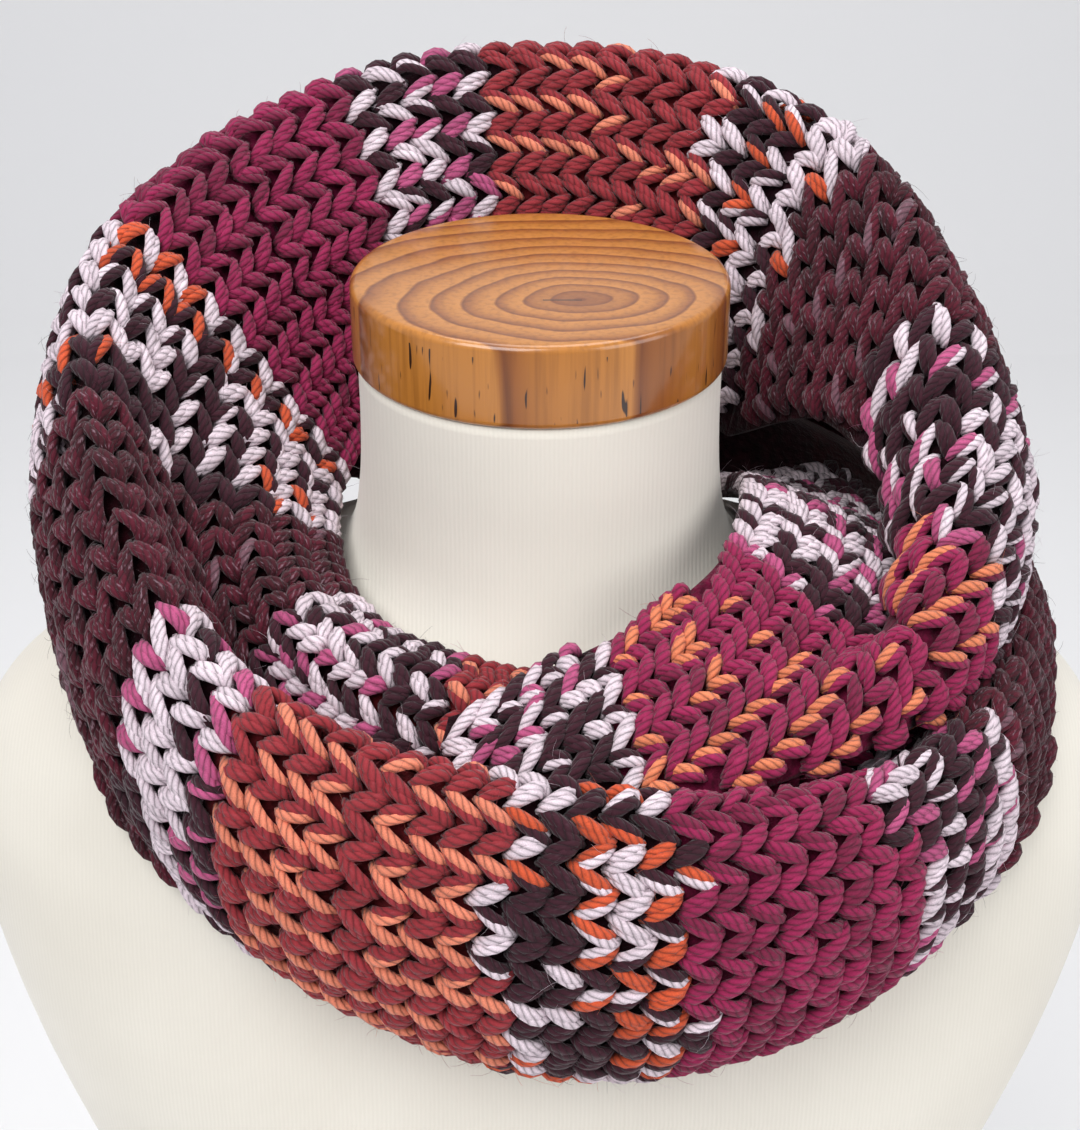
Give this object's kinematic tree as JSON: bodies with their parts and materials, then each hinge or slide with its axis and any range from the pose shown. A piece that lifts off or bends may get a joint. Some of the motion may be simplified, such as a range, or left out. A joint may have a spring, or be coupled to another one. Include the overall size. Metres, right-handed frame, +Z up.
{
  "type": "infinity scarf on a dress form",
  "caption": "Chunky rib-knit infinity scarf wound twice round the neck of a limbless jersey-covered dress form with a round wooden neck cap.",
  "frame": {"origin": "middle of the dress form's flat underside", "axes": "+Z up along the neck's axis, -Y towards the front of the form, +X towards the left of someone facing away from it, the right-hand side seen from the front"},
  "size_m": [0.3732, 0.3011, 0.7349],
  "materials": {
    "wool": "deep rib knit of two strands of space-dyed wool-blend yarn",
    "jersey": "cream cotton jersey, fine rib",
    "pine": "honey stain, gloss varnish"
  },
  "bodies": {
    "root": {"collar_back": "wool", "collar_left": "wool", "front_loop": "wool", "over_right": "wool", "inner_right": "wool", "crossing_front": "wool", "under_back": "wool", "dress_form": "jersey", "neck_cap": "pine"}
  },
  "joints": []
}
